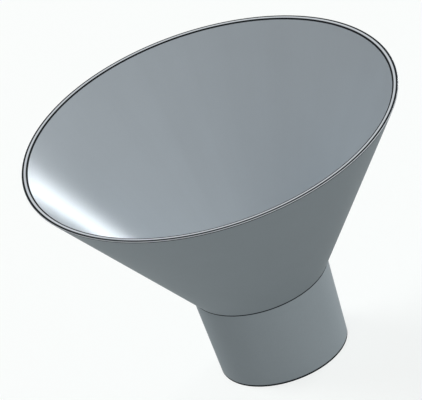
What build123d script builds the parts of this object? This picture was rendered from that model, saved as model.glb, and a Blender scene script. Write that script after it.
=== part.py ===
from build123d import *
import os
from math import cos, radians, sin, tan, atan2

# A feed hopper cast in one piece: a wide round cone that runs down into a short drafted spout.
# Millimetres and degrees. +Z points up along the hopper's own axis.
# The origin is the centre of the spout's foot, the face on which the hopper stands.

# Driving dimensions
height = 206.0  # from the foot face to the rim face
rim_diameter = 300.0  # outside of the rim, to its sharp corner
outlet_diameter = 100.0  # outside of the foot, to its sharp corner
spout_length = 69.0  # from the foot face to the outer crease under the cone
spout_draft = 3.0  # lean of the spout's wall from the axis, narrowing towards the foot
wall = 4.2  # square to the surface, and the same in the cone and in the spout
edge_radius = 0.8  # round on the outer edge of the rim and of the foot
throat_radius = 6.0  # round on the inner edge, where the cone runs into the spout

# Places that follow from them
foot_radius = outlet_diameter / 2
neck_radius = foot_radius + spout_length * tan(radians(spout_draft))
rim_radius = rim_diameter / 2
cone_height = height - spout_length
cone_lean = atan2(rim_radius - neck_radius, cone_height)

# How far the wall is drawn past both faces before they trim it level
run_out = 2 * wall


def half_section():
    """The wall beside the axis, with the radius along X and the height along Y."""
    lean = radians(spout_draft)
    past_foot = (foot_radius - run_out * sin(lean), -run_out * cos(lean))
    past_rim = (rim_radius + run_out * sin(cone_lean), height + run_out * cos(cone_lean))
    with BuildSketch() as section:
        with BuildLine():
            Polyline(past_foot, (neck_radius, spout_length), past_rim)
            offset(amount=wall, side=Side.LEFT, kind=Kind.INTERSECTION)
        make_face()
        # The foot face and the rim face are level, so both cut the slanting wall square to the axis
        with Locations((0, height / 2)):
            Rectangle(3 * rim_diameter, height, mode=Mode.INTERSECT)
        corners = section.vertices().group_by(Axis.Y)
        outer_edges = [corners[0].sort_by(Axis.X)[-1], corners[-1].sort_by(Axis.X)[-1]]
        fillet(outer_edges, radius=edge_radius)
        between = section.vertices().filter_by_position(Axis.Y, wall, height - wall)
        fillet(between.sort_by(Axis.X)[0], radius=throat_radius)
    return section.sketch


def hopper_body():
    """The whole hopper: one wall turned round the axis and open from the rim to the foot."""
    with BuildPart() as body:
        with BuildSketch(Plane.XZ):
            add(half_section())
        revolve(axis=Axis.Z)
    return body.part


nodes = {"hopper_body": hopper_body()}

os.makedirs("parts", exist_ok=True)
for name, solid in nodes.items():
    solid.label = name
    export_step(solid, f"parts/{name}.step")
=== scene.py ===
"""A cast aluminium feed hopper: the finished surface round its CAD frame, a pale studio and a camera."""
from math import atan2, cos, pi, radians, sin, tan

import bmesh
import bpy
from bpy.props import FloatProperty, FloatVectorProperty, IntProperty, PointerProperty
from mathutils import Matrix, Vector


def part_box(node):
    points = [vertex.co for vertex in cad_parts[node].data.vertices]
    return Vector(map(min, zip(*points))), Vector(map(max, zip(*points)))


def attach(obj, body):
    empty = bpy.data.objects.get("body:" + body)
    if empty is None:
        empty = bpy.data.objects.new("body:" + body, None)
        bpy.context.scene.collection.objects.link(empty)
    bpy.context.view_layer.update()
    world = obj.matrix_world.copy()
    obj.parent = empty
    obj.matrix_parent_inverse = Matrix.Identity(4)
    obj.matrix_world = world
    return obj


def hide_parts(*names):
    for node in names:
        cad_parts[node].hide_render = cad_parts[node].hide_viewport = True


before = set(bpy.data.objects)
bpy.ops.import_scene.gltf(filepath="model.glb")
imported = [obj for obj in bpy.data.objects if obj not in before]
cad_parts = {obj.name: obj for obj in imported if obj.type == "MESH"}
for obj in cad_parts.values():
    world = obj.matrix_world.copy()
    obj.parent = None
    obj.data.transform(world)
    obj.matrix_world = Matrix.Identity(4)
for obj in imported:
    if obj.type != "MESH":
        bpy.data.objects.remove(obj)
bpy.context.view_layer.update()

bl_info = {
    "name": "Feed Hopper",
    "version": (1, 0, 0),
    "blender": (4, 5, 0),
    "location": "3D View > Sidebar > Feed Hopper",
    "description": "Builds a cast feed hopper from its sizes, with its studio floor, lamps and camera",
    "category": "Object",
}

NODE = "hopper_body"
BODY = "root"
MM = 0.001

# The frame's box gives the height, and the outside radius where the box is narrowest
lowest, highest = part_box(NODE)
frame_height = highest.z - lowest.z
frame_radius = min(highest.x, highest.y, -lowest.x, -lowest.y)

# Sizes of the part that the frame's box doesn't give
OUTLET_RADIUS = 50 * MM
SPOUT_LENGTH = 69 * MM
SPOUT_DRAFT = 3  # degrees
EDGE_ROUND = 0.8 * MM


def neck_radius(foot, spout_length, draft):
    """Radius of the outer crease, where the spout runs into the cone."""
    return foot + spout_length * tan(draft)


def cone_lean(neck, rim, cone_height):
    """How far the cone's wall leans from the axis."""
    return atan2(rim - neck, cone_height)


def round_reach(radius, corner):
    """How far a round that fills a corner reaches along each of its sides."""
    return radius / tan(corner / 2)


def rim_corner_radius():
    """Radius of the rim's sharp corner, from the widest place of the round that takes it off."""
    neck = neck_radius(OUTLET_RADIUS, SPOUT_LENGTH, radians(SPOUT_DRAFT))
    corner = pi / 2 - cone_lean(neck, frame_radius, frame_height - SPOUT_LENGTH)
    return frame_radius + round_reach(EDGE_ROUND, corner) - EDGE_ROUND


# Properties


def length(name, description, default):
    """A length property in metres."""
    return FloatProperty(name=name, description=description, default=default, min=0.0, unit="LENGTH",
                         precision=5)


def colour(name, description, default):
    """A colour property, in the linear values that the shader takes."""
    return FloatVectorProperty(name=name, description=description, default=default, size=3, min=0, max=1,
                               subtype="COLOR")


def factor(name, description, default):
    """A share from 0 to 1."""
    return FloatProperty(name=name, description=description, default=default, min=0, max=1,
                         subtype="FACTOR")


def angle(name, description, default):
    """An angle property, given here in degrees."""
    return FloatProperty(name=name, description=description, default=radians(default), subtype="ANGLE",
                         unit="ROTATION")


class HopperSizes(bpy.types.PropertyGroup):
    """Sizes of the hopper's one wall."""

    height: length("Height", "From the foot face to the rim face", frame_height)
    rim_diameter: length("Rim diameter", "Outside of the rim, to its sharp corner",
                         2 * rim_corner_radius())
    outlet_diameter: length("Outlet diameter", "Outside of the foot, to its sharp corner",
                            2 * OUTLET_RADIUS)
    spout_length: length("Spout length", "From the foot face to the crease under the cone", SPOUT_LENGTH)
    spout_draft: angle("Spout draft", "Lean of the spout's wall, narrowing towards the foot", SPOUT_DRAFT)
    wall: length("Wall", "Thickness, square to the surface, in the cone and in the spout", 4.2 * MM)
    edge_round: length("Edge round", "Round on the outer edge of the rim and of the foot", EDGE_ROUND)
    edge_break: length("Edge break", "Round on the inner edge of the rim and of the foot", 0.35 * MM)
    crease_round: length("Crease round", "Round in the outer crease between cone and spout", 0.35 * MM)
    throat_round: length("Throat round", "Round inside, where the cone runs into the spout", 6 * MM)
    sides: IntProperty(name="Sides", description="Flats round the hopper", default=288, min=16)
    round_steps: IntProperty(name="Round steps", description="Flats across each round", default=6, min=1)


class HopperFinish(bpy.types.PropertyGroup):
    """Colours and surface of the casting."""

    # The outside's colour is darker than the bore's partly for its rougher blasted finish, and partly as
    # painted shade on the down-facing outside
    skin_colour: colour("Skin colour", "Blasted cast skin outside", (0.378, 0.431, 0.462))
    bore_colour: colour("Bore colour", "Smoother skin inside", (0.485, 0.538, 0.578))
    # The turned faces' colour is lighter than the skin's partly for the bright turned metal, and partly as
    # painted light on the upward-facing rim face
    faced_colour: colour("Faced colour", "Turned metal of the rim and foot faces", (0.654, 0.695, 0.731))
    # Painted dark lines along the edges: painted shade in the neck crease and at the foot, and painted dark
    # outlines along the rim
    line_colour: colour("Edge line colour", "Oxide along the edges and in the crease",
                        (0.013, 0.016, 0.019))
    skin_metallic: factor("Skin metallic", "How much of the outside answers as bare metal", 0.04)
    bore_metallic: factor("Bore metallic", "How much of the inside answers as bare metal", 0.25)
    faced_metallic: factor("Faced metallic", "How much of the turned faces answers as bare metal", 0.12)
    skin_specular: factor("Skin specular", "Strength of the outside's clear reflections", 0.05)
    bore_specular: factor("Bore specular", "Strength of the inside's clear reflections", 0.5)
    skin_roughness: factor("Skin roughness", "How matt the outside is", 0.58)
    bore_roughness: factor("Bore roughness", "How matt the inside is", 0.36)
    faced_roughness: factor("Faced roughness", "How matt the turned faces are", 0.34)
    # Roughness of the painted dark edge lines
    line_roughness: factor("Edge line roughness", "How matt the oxide is", 0.9)
    skin_mottle: factor("Skin mottle", "How much the outside's tone changes from place to place", 0.055)
    bore_mottle: factor("Bore mottle", "How much the inside's tone changes from place to place", 0.03)
    faced_mottle: factor("Faced mottle", "How much the turned faces' tone changes", 0.03)
    gloss_change: factor("Gloss change", "How much the roughness changes from place to place", 0.04)
    skin_pits: factor("Skin pits", "Strength of the blasted pits outside", 0.7)
    bore_pits: factor("Bore pits", "Strength of the pits inside", 0.35)
    slide_marks: factor("Slide marks", "Depth of the bands that the feed has rubbed inside", 0.02)
    grain_size: length("Grain size", "Size of the blasted grain", 0.9 * MM)
    skin_cloud: length("Skin cloud size", "Size of the cast skin's cloudy patches", 34 * MM)
    faced_cloud: length("Faced cloud size", "Size of the turned faces' cloudy patches", 12 * MM)
    groove_pitch: length("Groove pitch", "From one turned groove to the next", 0.3 * MM)
    line_width: length("Edge line width", "Width of a plain dark line along an edge", 1.0 * MM)


class HopperStudio(bpy.types.PropertyGroup):
    """Floor, light and camera."""

    floor_colour: colour("Floor colour", "Plain pale floor and background", (0.956, 0.974, 0.965))
    floor_size: length("Floor size", "Side of the square floor", 24.0)
    floor_glow: factor("Floor glow", "Share of the floor's colour that shadows leave alone", 0.55)
    floor_bounce: factor("Floor bounce", "Share of its colour that the floor throws back as light", 0.45)
    sky_strength: FloatProperty(name="Sky strength", description="Even light from all round",
                                default=0.220, min=0)
    camera_lift: angle("Camera lift", "How far the camera looks down", 30.55)
    camera_roll: angle("Camera roll", "How far the camera is rolled, leaning the hopper to the left", 18.72)
    camera_span: length("Camera span", "Width of the picture at the hopper", 0.32117)
    camera_aim: FloatVectorProperty(name="Camera aim", description="Point in the middle of the picture",
                                    default=(-0.01657, 0.0, 0.14565), size=3, subtype="XYZ",
                                    unit="LENGTH", precision=5)


# Node trees

# Kinds of socket
NUMBER = "NodeSocketFloat"
COUNT = "NodeSocketInt"
VECTOR = "NodeSocketVector"
MATERIAL = "NodeSocketMaterial"
GEOMETRY = "NodeSocketGeometry"


def give(tree, node, inputs):
    """Fills a node's inputs by name or index, as a link where the value is an output socket."""
    for key, value in inputs.items():
        socket = node.inputs[key]
        if isinstance(value, bpy.types.NodeSocket):
            tree.links.new(value, socket)
        else:
            socket.default_value = value


def add(tree, kind, inputs=None, **settings):
    """Adds a node with its settings and its inputs."""
    node = tree.nodes.new(kind)
    for key, value in settings.items():
        setattr(node, key, value)
    give(tree, node, inputs or {})
    return node


def maths(tree, operation, *values):
    """One Math node, as its output socket."""
    return add(tree, "ShaderNodeMath", dict(enumerate(values)), operation=operation).outputs[0]


def vector_maths(tree, operation, *values, output="Vector"):
    """One Vector Math node, as its output socket."""
    node = add(tree, "ShaderNodeVectorMath", dict(enumerate(values)), operation=operation)
    return node.outputs[output]


def off_axis(tree, place):
    """A place with its height taken away, which leaves its offset from the axis."""
    return vector_maths(tree, "MULTIPLY", place, (1, 1, 0))


def axis_distance(tree, place):
    """How far a place is from the axis."""
    return vector_maths(tree, "LENGTH", off_axis(tree, place), output="Value")


def height_of(tree, vector):
    """The Z of a place or of a direction."""
    return add(tree, "ShaderNodeSeparateXYZ", {0: vector}).outputs["Z"]


def new_tree(name, kind, inputs, outputs):
    """An empty node tree with its input and output nodes. Its sockets are given by name and kind."""
    tree = bpy.data.node_groups.new(name, kind)
    for side, sockets in (("INPUT", inputs), ("OUTPUT", outputs)):
        for label, socket_kind in sockets.items():
            tree.interface.new_socket(label, in_out=side, socket_type=socket_kind)
    return tree, add(tree, "NodeGroupInput"), add(tree, "NodeGroupOutput")


# The wall's shape

# Points of the mesh that are closer than this are one point
TOUCHING = 0.001 * MM

# A face is level where its normal's Z, up or down, is more than this
LEVEL = 0.999


def turn_section(tree, corners, neck, sides, round_steps):
    """Draws a closed section through its corners and turns it round the axis.

    A corner is (radius, height, rounding), and the neck is the radius of the circle that guides the turn.
    """
    index = add(tree, "GeometryNodeInputIndex").outputs[0]
    place = add(tree, "GeometryNodeIndexSwitch", data_type="VECTOR")
    rounding = add(tree, "GeometryNodeIndexSwitch", data_type="FLOAT")
    for switch in (place, rounding):
        while len(switch.index_switch_items) < len(corners):
            switch.index_switch_items.new()
        give(tree, switch, {"Index": index})
    for number, (radius, up, corner_round) in enumerate(corners):
        # The profile's X points out from the guide circle, and its Y points down
        out = maths(tree, "SUBTRACT", radius, neck)
        down = maths(tree, "MULTIPLY", up, -1.0)
        point = add(tree, "ShaderNodeCombineXYZ", {"X": out, "Y": down}).outputs[0]
        give(tree, place, {str(number): point})
        give(tree, rounding, {str(number): corner_round})

    dots = add(tree, "GeometryNodeMeshLine", {"Count": len(corners)})
    placed = add(tree, "GeometryNodeSetPosition", {
        "Geometry": dots.outputs[0], "Position": place.outputs[0]})
    line = add(tree, "GeometryNodeMeshToCurve", {"Mesh": placed.outputs[0]})
    ring = add(tree, "GeometryNodeSetSplineCyclic", {"Geometry": line.outputs[0], "Cyclic": True})
    section = add(tree, "GeometryNodeFilletCurve", {
        "Curve": ring.outputs[0], "Count": round_steps, "Radius": rounding.outputs[0],
        "Limit Radius": True}, mode="POLY")
    guide = add(tree, "GeometryNodeCurvePrimitiveCircle", {"Resolution": sides, "Radius": neck})
    turned = add(tree, "GeometryNodeCurveToMesh", {
        "Curve": guide.outputs[0], "Profile Curve": section.outputs[0]})
    closed = add(tree, "GeometryNodeMergeByDistance", {
        "Geometry": turned.outputs[0], "Distance": TOUCHING})
    smooth = add(tree, "GeometryNodeSetShadeSmooth", {"Geometry": closed.outputs[0]})
    return add(tree, "GeometryNodeRealizeInstances", {"Geometry": smooth.outputs[0]}).outputs[0]


def finish_faces(tree, geometry, turned_above, materials):
    """Gives each face its material: skin outside, bore inside and turned metal on the machined faces.

    Those are the level faces, and the faces outside that lie above the given height.
    """
    normal = add(tree, "GeometryNodeInputNormal").outputs[0]
    position = add(tree, "GeometryNodeInputPosition").outputs[0]
    outward = vector_maths(tree, "DOT_PRODUCT", normal, off_axis(tree, position), output="Value")
    faces_in = maths(tree, "LESS_THAN", outward, 0.0)
    faces_out = maths(tree, "GREATER_THAN", outward, 0.0)
    near_rim = maths(tree, "GREATER_THAN", height_of(tree, position), turned_above)
    on_rim_round = maths(tree, "MULTIPLY", near_rim, faces_out)
    is_level = maths(tree, "GREATER_THAN", maths(tree, "ABSOLUTE", height_of(tree, normal)), LEVEL)
    is_turned = maths(tree, "MAXIMUM", is_level, on_rim_round)
    for label, chosen in (("Skin", True), ("Bore", faces_in), ("Faced", is_turned)):
        finished = add(tree, "GeometryNodeSetMaterial", {
            "Geometry": geometry, "Selection": chosen, "Material": materials[label]})
        geometry = finished.outputs[0]
    return geometry


def wall_tree():
    """Draws the wall beside the axis from its sizes, rounds its corners and turns it round the axis."""
    tree, given, result = new_tree("Turned Wall", "GeometryNodeTree", {
        "Height": NUMBER, "Rim Diameter": NUMBER, "Outlet Diameter": NUMBER,
        "Spout Length": NUMBER, "Spout Draft": NUMBER, "Wall": NUMBER,
        "Edge Round": NUMBER, "Edge Break": NUMBER, "Crease Round": NUMBER, "Throat Round": NUMBER,
        "Sides": COUNT, "Round Steps": COUNT,
        "Skin": MATERIAL, "Bore": MATERIAL, "Faced": MATERIAL,
    }, {"Geometry": GEOMETRY})

    def m(operation, *values):
        return maths(tree, operation, *values)

    size = given.outputs
    height = size["Height"]
    spout = size["Spout Length"]
    draft = size["Spout Draft"]
    draft_slope = m("TANGENT", draft)
    foot = m("DIVIDE", size["Outlet Diameter"], 2)
    rim = m("DIVIDE", size["Rim Diameter"], 2)
    neck = m("MULTIPLY_ADD", spout, draft_slope, foot)
    lean = m("ARCTAN2", m("SUBTRACT", rim, neck), m("SUBTRACT", height, spout))
    cone_slope = m("TANGENT", lean)
    foot_bore = m("SUBTRACT", foot, m("DIVIDE", size["Wall"], m("COSINE", draft)))
    rim_bore = m("SUBTRACT", rim, m("DIVIDE", size["Wall"], m("COSINE", lean)))
    # The inner wall of the cone meets the inner wall of the spout at the throat
    bore_rise = m("SUBTRACT", m("SUBTRACT", rim_bore, foot_bore), m("MULTIPLY", height, cone_slope))
    throat_height = m("DIVIDE", bore_rise, m("SUBTRACT", draft_slope, cone_slope))
    throat = m("MULTIPLY_ADD", throat_height, draft_slope, foot_bore)
    corners = [
        # With the corners in this order, the mesh's faces look out of the wall
        (foot_bore, 0.0, size["Edge Break"]),
        (throat, throat_height, size["Throat Round"]),
        (rim_bore, height, size["Edge Break"]),
        (rim, height, size["Edge Round"]),
        (neck, spout, size["Crease Round"]),
        (foot, 0.0, size["Edge Round"]),
    ]
    turned = turn_section(tree, corners, neck, size["Sides"], size["Round Steps"])

    # The round on the rim's outer edge is turned metal as the rim face is, down to its lower end, and so
    # takes the faced colour with its painted light
    half_corner = m("MULTIPLY", m("SUBTRACT", pi / 2, lean), 0.5)
    reach = m("DIVIDE", size["Edge Round"], m("TANGENT", half_corner))
    round_end = m("SUBTRACT", height, m("MULTIPLY", reach, m("COSINE", lean)))
    give(tree, result, {"Geometry": finish_faces(tree, turned, round_end, size)})
    return tree


def set_input(modifier, tree, name, value):
    """Sets a modifier's input by its socket's identifier."""
    for item in tree.interface.items_tree:
        if item.item_type == "SOCKET" and item.in_out == "INPUT" and item.name == name:
            modifier[item.identifier] = value
            return
    raise ValueError(f"the tree {tree.name} has no input named {name}")


# Painted dark lines along the wall's edges: painted shade in the neck crease and at the foot, and painted
# dark outlines along the rim

# From the end of the rim's round in over the flat, so that the line lies mostly on the flat
FLAT_LINE_INSET = 0.22 * MM

# Which edges carry a painted dark line in each finish, with the width of the line in edge line widths
SKIN_LINES = {"rim_round": 1.2, "neck": 1.2, "foot_round": 2.0, "foot_flat": 1.3}
BORE_LINES = {"rim_bore": 1.8, "foot_bore": 1.3}
FACED_LINES = {"rim_bore": 1.9, "rim_flat": 1.65, "rim_round": 0.8, "foot_flat": 1.3, "foot_bore": 1.3}


def section_edges(sizes):
    """The radius and the height of each edge of the wall's section."""
    foot = sizes.outlet_diameter / 2
    rim = sizes.rim_diameter / 2
    draft = sizes.spout_draft
    neck = neck_radius(foot, sizes.spout_length, draft)
    lean = cone_lean(neck, rim, sizes.height - sizes.spout_length)
    rim_reach = round_reach(sizes.edge_round, pi / 2 - lean)
    foot_reach = round_reach(sizes.edge_round, pi / 2 + draft)
    return {
        "rim_bore": (rim - sizes.wall / cos(lean), sizes.height),
        "rim_flat": (rim - rim_reach - FLAT_LINE_INSET, sizes.height),
        "rim_round": (rim - rim_reach * sin(lean), sizes.height - rim_reach * cos(lean)),
        "neck": (neck, sizes.spout_length),
        "foot_round": (foot + foot_reach * sin(draft), foot_reach * cos(draft)),
        "foot_flat": (foot - foot_reach, 0.0),
        "foot_bore": (foot - sizes.wall / cos(draft), 0.0),
    }


def placed_lines(widths, edges, finish):
    """Each line as (radius, height, width), all in metres."""
    return [(*edges[edge], width * finish.line_width) for edge, width in widths.items()]


# Surface effects, each built once and placed in the materials with its own values

# A noise mostly stays within a quarter of its middle, and the gain brings that up to 1
NOISE_MIDDLE = 0.5
NOISE_GAIN = 4.0

# How the grain's tone is shared out between the cloudy patches and the fine pits
CLOUD_SHARE = 0.4
PIT_SHARE = 0.6

# How fast the turned grooves stray from their even pitch, in changes to the metre
DRIFT_SCALE = 60.0

# What a metre of height counts for in the slide marks' noise, where a radian round the axis counts for 1
SLIDE_STRETCH = 0.6

# Where an edge line stops being fully dark and where it ends, in shares of its width from the edge
LINE_CORE = 0.4
LINE_END = 0.6


def noise(tree, place, scale, detail, roughness=0.5):
    """One Noise Texture, as its value's socket."""
    return add(tree, "ShaderNodeTexNoise", {
        "Vector": place, "Scale": scale, "Detail": detail, "Roughness": roughness}).outputs[0]


def swing(tree, value, depth, middle):
    """A noise's value made to swing by a depth about a middle."""
    centred = maths(tree, "SUBTRACT", value, NOISE_MIDDLE)
    gain = maths(tree, "MULTIPLY", depth, NOISE_GAIN)
    return maths(tree, "MULTIPLY_ADD", centred, gain, middle)


def build_grain(name):
    """Blasted grain: small pits and faint clouds, as a height, a tone about 1 and a change of gloss."""
    tree, given, result = new_tree(name, "ShaderNodeTree", {
        "Vector": VECTOR, "Grain Size": NUMBER, "Cloud Size": NUMBER, "Tone Depth": NUMBER,
        "Gloss Depth": NUMBER,
    }, {"Height": NUMBER, "Tone": NUMBER, "Gloss": NUMBER})
    size = given.outputs
    pits = noise(tree, size["Vector"], maths(tree, "DIVIDE", 1.0, size["Grain Size"]), 2.0, 0.6)
    cloud = noise(tree, size["Vector"], maths(tree, "DIVIDE", 1.0, size["Cloud Size"]), 3.0, 0.55)
    patch = maths(tree, "MULTIPLY_ADD", cloud, CLOUD_SHARE, maths(tree, "MULTIPLY", pits, PIT_SHARE))
    give(tree, result, {
        "Height": pits,
        "Tone": swing(tree, patch, size["Tone Depth"], 1.0),
        "Gloss": swing(tree, cloud, size["Gloss Depth"], 0.0)})
    return tree


def build_lay(name):
    """Turning lay: fine grooves at an even pitch along one measure, broken up a little."""
    tree, given, result = new_tree(name, "ShaderNodeTree", {
        "Measure": NUMBER, "Vector": VECTOR, "Pitch": NUMBER, "Waver": NUMBER,
    }, {"Height": NUMBER, "Groove": NUMBER})
    size = given.outputs
    drift = noise(tree, size["Vector"], DRIFT_SCALE, 2.0)
    even_turns = maths(tree, "DIVIDE", size["Measure"], size["Pitch"])
    turns = maths(tree, "MULTIPLY_ADD", drift, size["Waver"], even_turns)
    wave = maths(tree, "SINE", maths(tree, "MULTIPLY", turns, 2 * pi))
    groove = maths(tree, "MULTIPLY_ADD", wave, 0.5, 0.5)
    give(tree, result, {"Height": maths(tree, "MULTIPLY", groove, drift), "Groove": groove})
    return tree


def build_slide(name):
    """Slide marks: faint bands that run down the wall, where the feed has rubbed it."""
    tree, given, result = new_tree(name, "ShaderNodeTree", {
        "Vector": VECTOR, "Bands": NUMBER, "Depth": NUMBER,
    }, {"Tone": NUMBER, "Gloss": NUMBER})
    size = given.outputs
    around = vector_maths(tree, "NORMALIZE", off_axis(tree, size["Vector"]))
    down = vector_maths(tree, "MULTIPLY", size["Vector"], (0, 0, SLIDE_STRETCH))
    bands = noise(tree, vector_maths(tree, "ADD", around, down), size["Bands"], 4.0, 0.6)
    give(tree, result, {
        "Tone": swing(tree, bands, size["Depth"], 1.0),
        "Gloss": swing(tree, bands, size["Depth"], 0.0)})
    return tree


def build_line(name):
    """Mask of a painted dark edge line: 1 along an edge of the turned section, fading out softly to each
    side of it.
    """
    tree, given, result = new_tree(name, "ShaderNodeTree", {
        "Radius": NUMBER, "Height": NUMBER, "Edge Radius": NUMBER, "Edge Height": NUMBER, "Width": NUMBER,
    }, {"Mask": NUMBER})
    size = given.outputs
    out = maths(tree, "SUBTRACT", size["Radius"], size["Edge Radius"])
    up = maths(tree, "SUBTRACT", size["Height"], size["Edge Height"])
    away = maths(tree, "SQRT", maths(tree, "MULTIPLY_ADD", out, out, maths(tree, "MULTIPLY", up, up)))
    mask = add(tree, "ShaderNodeMapRange", {
        "Value": away,
        "From Min": maths(tree, "MULTIPLY", size["Width"], LINE_CORE),
        "From Max": maths(tree, "MULTIPLY", size["Width"], LINE_END),
        "To Min": 1.0, "To Max": 0.0})
    give(tree, result, {"Mask": mask.outputs[0]})
    return tree


EFFECTS = {
    "Blasted Grain": build_grain,
    "Turning Lay": build_lay,
    "Slide Marks": build_slide,
    "Edge Line": build_line,
}


def effect(tree, name, inputs):
    """Places an effect in a material. Its node group is built the first time that it is asked for."""
    group = bpy.data.node_groups.get(name) or EFFECTS[name](name)
    return add(tree, "ShaderNodeGroup", inputs, node_tree=group)


# Materials

# Depth of the blasted pits and of the turned grooves, where their strength is 1
PIT_DEPTH = 0.06 * MM
GROOVE_DEPTH = 0.02 * MM

# How many slide marks there are, as the scale of their noise on a circle of radius 1
SLIDE_BANDS = 5.0

# The turned grooves: how far they stray in pitches, what their crests add to the tone, and their strength
GROOVE_WAVER = 0.4
GROOVE_TONE = -0.05
GROOVE_STRENGTH = 0.3


def new_material(name):
    """A material with an empty node tree."""
    material = bpy.data.materials.new(name)
    material.use_nodes = True
    material.node_tree.nodes.clear()
    return material, material.node_tree


def show(tree, shader):
    """Sends a shader to the material's surface."""
    output = add(tree, "ShaderNodeOutputMaterial", {"Surface": shader.outputs[0]})
    output.is_active_output = True


def own_place(tree):
    """The object's own coordinates."""
    return add(tree, "ShaderNodeTexCoord").outputs["Object"]


def toned(tree, base, tone):
    """A colour times a tone."""
    return vector_maths(tree, "MULTIPLY", tuple(base), tone)


def mixed(tree, share, first, second):
    """A colour that goes from the first to the second as the share goes from 0 to 1."""
    mix = add(tree, "ShaderNodeMix", {0: share}, data_type="RGBA")
    # A Mix node has an A and a B for each kind of value, so the colour ones are picked out by type
    ends = {socket.name: index for index, socket in enumerate(mix.inputs) if socket.type == "RGBA"}
    give(tree, mix, {ends["A"]: first, ends["B"]: second})
    return next(socket for socket in mix.outputs if socket.type == "RGBA")


def lined(tree, own, plain_colour, plain_roughness, finish, lines):
    """A colour and a roughness with matt painted dark lines drawn over them, painted shade in the crease
    and at the foot and painted outlines along the rim. A line is (radius, height, width).
    """
    radius = axis_distance(tree, own)
    height = height_of(tree, own)
    mask = None
    for edge_radius, edge_height, width in lines:
        line = effect(tree, "Edge Line", {
            "Radius": radius, "Height": height, "Edge Radius": edge_radius, "Edge Height": edge_height,
            "Width": width}).outputs["Mask"]
        mask = line if mask is None else maths(tree, "MAXIMUM", mask, line)
    matt = maths(tree, "MULTIPLY", mask, finish.line_roughness)
    return (mixed(tree, mask, plain_colour, (*finish.line_colour, 1)),
            maths(tree, "MAXIMUM", plain_roughness, matt))


def skin_material(name, finish, lines, base, roughness, metallic, specular, mottle, pits, slide=0.0):
    """Cast skin: blasted grain, faint slide marks where asked, and the given painted dark edge lines."""
    material, tree = new_material(name)
    own = own_place(tree)
    grain = effect(tree, "Blasted Grain", {
        "Vector": own, "Grain Size": finish.grain_size, "Cloud Size": finish.skin_cloud,
        "Tone Depth": mottle, "Gloss Depth": finish.gloss_change})
    tone = grain.outputs["Tone"]
    gloss = grain.outputs["Gloss"]
    if slide:
        marks = effect(tree, "Slide Marks", {"Vector": own, "Bands": SLIDE_BANDS, "Depth": slide})
        tone = maths(tree, "MULTIPLY", tone, marks.outputs["Tone"])
        gloss = maths(tree, "ADD", gloss, marks.outputs["Gloss"])
    drawn_colour, drawn_roughness = lined(
        tree, own, toned(tree, base, tone), maths(tree, "ADD", gloss, roughness), finish, lines)
    bump = add(tree, "ShaderNodeBump", {
        "Height": grain.outputs["Height"], "Strength": pits, "Distance": PIT_DEPTH})
    show(tree, add(tree, "ShaderNodeBsdfPrincipled", {
        "Base Color": drawn_colour, "Roughness": drawn_roughness, "Metallic": metallic,
        "Specular IOR Level": specular, "Normal": bump.outputs[0]}))
    return material


def outer_skin(finish, lines):
    """The blasted cast skin outside, whose colour is darker than the bore's partly as painted shade."""
    return skin_material(
        "cast_skin", finish, lines, base=finish.skin_colour, roughness=finish.skin_roughness,
        metallic=finish.skin_metallic, specular=finish.skin_specular, mottle=finish.skin_mottle,
        pits=finish.skin_pits)


def bore_skin(finish, lines):
    """The smoother skin inside, rubbed by the feed."""
    return skin_material(
        "bore_skin", finish, lines, base=finish.bore_colour, roughness=finish.bore_roughness,
        metallic=finish.bore_metallic, specular=finish.bore_specular, mottle=finish.bore_mottle,
        pits=finish.bore_pits, slide=finish.slide_marks)


def turned_face(finish, lines):
    """Turned metal: fine grooves round the axis over a smoother face, whose brighter colour is partly
    bright turned metal and partly painted light.
    """
    material, tree = new_material("turned_face")
    own = own_place(tree)
    lay = effect(tree, "Turning Lay", {
        "Measure": axis_distance(tree, own), "Vector": own, "Pitch": finish.groove_pitch,
        "Waver": GROOVE_WAVER})
    grain = effect(tree, "Blasted Grain", {
        "Vector": own, "Grain Size": finish.grain_size, "Cloud Size": finish.faced_cloud,
        "Tone Depth": finish.faced_mottle, "Gloss Depth": finish.gloss_change})
    tone = maths(tree, "MULTIPLY_ADD", lay.outputs["Groove"], GROOVE_TONE, grain.outputs["Tone"])
    roughness = maths(tree, "ADD", grain.outputs["Gloss"], finish.faced_roughness)
    drawn_colour, drawn_roughness = lined(
        tree, own, toned(tree, finish.faced_colour, tone), roughness, finish, lines)
    bump = add(tree, "ShaderNodeBump", {
        "Height": lay.outputs["Height"], "Strength": GROOVE_STRENGTH, "Distance": GROOVE_DEPTH})
    show(tree, add(tree, "ShaderNodeBsdfPrincipled", {
        "Base Color": drawn_colour, "Roughness": drawn_roughness, "Metallic": finish.faced_metallic,
        "Normal": bump.outputs[0]}))
    return material


def studio_paper(studio):
    """Plain paper that looks paler than the light that it throws back on the hopper.

    The camera and glossy reflections also see it glow, so that shadows on it stay faint.
    """
    material, tree = new_material("studio_paper")
    pale = (*studio.floor_colour, 1)
    thrown_back = (*(studio.floor_bounce * part for part in studio.floor_colour), 1)
    path = add(tree, "ShaderNodeLightPath")
    seen = maths(tree, "MAXIMUM", path.outputs["Is Camera Ray"], path.outputs["Is Glossy Ray"])
    paper = add(tree, "ShaderNodeBsdfPrincipled", {
        "Base Color": mixed(tree, seen, thrown_back, pale), "Roughness": 0.9, "Specular IOR Level": 0.0})
    glow = add(tree, "ShaderNodeEmission", {"Color": pale, "Strength": 1.0})
    share = maths(tree, "MULTIPLY", seen, studio.floor_glow)
    show(tree, add(tree, "ShaderNodeMixShader", {0: share, 1: paper.outputs[0], 2: glow.outputs[0]}))
    return material


# Operators


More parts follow.
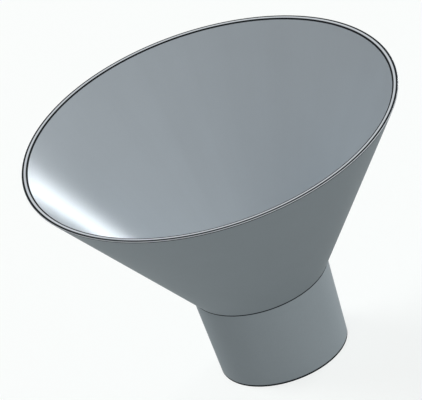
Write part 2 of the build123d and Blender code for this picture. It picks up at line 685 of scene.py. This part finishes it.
class HOPPER_OT_wall(bpy.types.Operator):
    """Build the hopper's one wall, with its cast skin and its turned faces"""

    bl_idname = "feed_hopper.build_wall"
    bl_label = "Build hopper wall"
    bl_options = {"REGISTER", "UNDO"}

    def execute(self, context):
        mesh = self.turn_wall(context)
        if not mesh.polygons:
            raise RuntimeError("the wall's tree made no faces")
        wall = bpy.data.objects.new("hopper_wall", mesh)
        context.scene.collection.objects.link(wall)
        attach(wall, BODY)
        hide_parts(NODE)
        return {"FINISHED"}

    def turn_wall(self, context):
        """The wall as a plain mesh with its three finishes, made from the scene's sizes."""
        sizes = context.scene.hopper_sizes
        finish = context.scene.hopper_finish
        edges = section_edges(sizes)
        tree = wall_tree()
        draft = bpy.data.objects.new("hopper_wall_draft", bpy.data.meshes.new("hopper_wall_draft"))
        context.scene.collection.objects.link(draft)
        turning = draft.modifiers.new("Turned Wall", "NODES")
        turning.node_group = tree
        # The tree's inputs are named after the sizes, as Rim Diameter is after rim_diameter
        for size in HopperSizes.__annotations__:
            set_input(turning, tree, size.replace("_", " ").title(), getattr(sizes, size))
        for label, build, widths in (("Skin", outer_skin, SKIN_LINES), ("Bore", bore_skin, BORE_LINES),
                                     ("Faced", turned_face, FACED_LINES)):
            set_input(turning, tree, label, build(finish, placed_lines(widths, edges, finish)))
        # Normals follow the largest faces, so the wide faces stay even beside the narrow rounds
        evening = draft.modifiers.new("Even Normals", "WEIGHTED_NORMAL")
        evening.mode = "FACE_AREA"
        evening.weight = 100
        evening.keep_sharp = True
        mesh = bpy.data.meshes.new_from_object(draft.evaluated_get(context.evaluated_depsgraph_get()))
        mesh.name = "hopper_wall"
        bpy.data.objects.remove(draft)
        return mesh


WHITE = (1.0, 1.0, 1.0)
COOL_WHITE = (0.97, 0.985, 1.0)

# Far lamps. Azimuth is in degrees round from +X and elevation in degrees up. A lamp of strength 1 shows a
# white face square to it as plain white. Softness is how wide the lamp looks, in degrees. The last three
# say whether it lights matt surfaces, whether it shows in gloss and whether it casts shadows.
LAMPS = (
    # name, azimuth, elevation, strength, softness, colour, matt, gloss, shadows
    ("left_softbox", 140, 35, 0.298, 30, WHITE, True, False, True),
    ("right_fill", 0, 60, 0.313, 20, WHITE, True, False, False),
    ("front_fill", -60, 60, 0.357, 20, WHITE, True, False, False),
    ("edge_lamp", 45, 12, 0.198, 20, WHITE, True, False, True),
    ("streak_lamp", 54.0, -5.4, 0.144, 5, COOL_WHITE, False, True, False),
)

# Metres from the origin to where a lamp is shown, which doesn't change its light
LAMP_DISTANCE = 2.0

# Metres from the camera to its aim, and to the farthest thing that it shows
CAMERA_DISTANCE = 1.6
CAMERA_REACH = 60.0


def sky_direction(azimuth, elevation):
    """The direction towards a place in the sky, from degrees round from +X and degrees up."""
    around = radians(azimuth)
    up = radians(elevation)
    return Vector((cos(up) * cos(around), cos(up) * sin(around), sin(up)))


class HOPPER_OT_studio(bpy.types.Operator):
    """Lay the pale floor and set the sky, the lamps and the camera"""

    bl_idname = "feed_hopper.build_studio"
    bl_label = "Build studio"
    bl_options = {"REGISTER", "UNDO"}

    def execute(self, context):
        studio = context.scene.hopper_studio
        self.lay_floor(context, studio)
        self.light_sky(context, studio)
        for lamp in LAMPS:
            self.hang_lamp(context, *lamp)
        self.place_camera(context, studio)
        context.scene.view_settings.view_transform = "Standard"
        return {"FINISHED"}

    def lay_floor(self, context, studio):
        """A wide level floor under the foot."""
        mesh = bpy.data.meshes.new("studio_floor")
        shape = bmesh.new()
        bmesh.ops.create_grid(shape, x_segments=4, y_segments=4, size=studio.floor_size / 2)
        shape.to_mesh(mesh)
        shape.free()
        mesh.materials.append(studio_paper(studio))
        floor = bpy.data.objects.new("studio_floor", mesh)
        context.scene.collection.objects.link(floor)

    def light_sky(self, context, studio):
        """Even light from all round, in place of which the camera sees the floor's colour."""
        world = bpy.data.worlds.new("studio_sky")
        world.use_nodes = True
        context.scene.world = world
        tree = world.node_tree
        tree.nodes.clear()
        sky = add(tree, "ShaderNodeBackground", {"Color": (1, 1, 1, 1), "Strength": studio.sky_strength})
        pale = add(tree, "ShaderNodeBackground", {"Color": (*studio.floor_colour, 1), "Strength": 1.0})
        path = add(tree, "ShaderNodeLightPath")
        mix = add(tree, "ShaderNodeMixShader", {
            0: path.outputs["Is Camera Ray"], 1: sky.outputs[0], 2: pale.outputs[0]})
        add(tree, "ShaderNodeOutputWorld", {"Surface": mix.outputs[0]})

    def hang_lamp(self, context, name, azimuth, elevation, strength, softness, tint, matt, gloss,
                  shadows):
        """One far lamp that shines on the origin."""
        lamp = bpy.data.lights.new(name, "SUN")
        lamp.energy = strength * pi
        lamp.color = tint
        lamp.angle = radians(softness)
        lamp.use_shadow = shadows
        direction = sky_direction(azimuth, elevation)
        hung = bpy.data.objects.new(name, lamp)
        hung.location = direction * LAMP_DISTANCE
        hung.rotation_euler = direction.to_track_quat("Z", "Y").to_euler()
        hung.visible_diffuse = matt
        hung.visible_glossy = gloss
        context.scene.collection.objects.link(hung)

    def place_camera(self, context, studio):
        """A parallel camera that looks down on the hopper and is rolled about its line of sight."""
        lift = studio.camera_lift
        roll = studio.camera_roll
        across = Vector((1, 0, 0))
        upward = Vector((0, sin(lift), cos(lift)))
        right = cos(roll) * across - sin(roll) * upward
        up = sin(roll) * across + cos(roll) * upward
        back = right.cross(up)
        turned = Matrix((right, up, back)).transposed().to_4x4()
        lens = bpy.data.cameras.new("photo_camera")
        lens.type = "ORTHO"
        lens.ortho_scale = studio.camera_span
        lens.clip_end = CAMERA_REACH
        camera = bpy.data.objects.new("photo_camera", lens)
        place = Vector(studio.camera_aim) + CAMERA_DISTANCE * back
        camera.matrix_world = Matrix.Translation(place) @ turned
        context.scene.collection.objects.link(camera)
        context.scene.camera = camera


class HOPPER_PT_panel(bpy.types.Panel):
    """Sizes, finish and studio of the feed hopper"""

    bl_idname = "HOPPER_PT_panel"
    bl_label = "Feed Hopper"
    bl_space_type = "VIEW_3D"
    bl_region_type = "UI"
    bl_category = "Feed Hopper"

    def draw(self, context):
        for settings, operator in (("hopper_sizes", None), ("hopper_finish", HOPPER_OT_wall),
                                   ("hopper_studio", HOPPER_OT_studio)):
            box = self.layout.box()
            group = getattr(context.scene, settings)
            for key in group.__annotations__:
                box.prop(group, key)
            if operator:
                box.operator(operator.bl_idname)


CLASSES = (HopperSizes, HopperFinish, HopperStudio, HOPPER_OT_wall, HOPPER_OT_studio, HOPPER_PT_panel)


def register():
    """Adds the classes, and the three groups of properties to the scene."""
    for item in CLASSES:
        bpy.utils.register_class(item)
    bpy.types.Scene.hopper_sizes = PointerProperty(type=HopperSizes)
    bpy.types.Scene.hopper_finish = PointerProperty(type=HopperFinish)
    bpy.types.Scene.hopper_studio = PointerProperty(type=HopperStudio)


def unregister():
    """Takes away all that register adds."""
    del bpy.types.Scene.hopper_studio
    del bpy.types.Scene.hopper_finish
    del bpy.types.Scene.hopper_sizes
    for item in reversed(CLASSES):
        bpy.utils.unregister_class(item)


def main():
    """Builds the wall and the studio."""
    register()
    bpy.ops.feed_hopper.build_wall()
    bpy.ops.feed_hopper.build_studio()


if __name__ == "__main__":
    main()
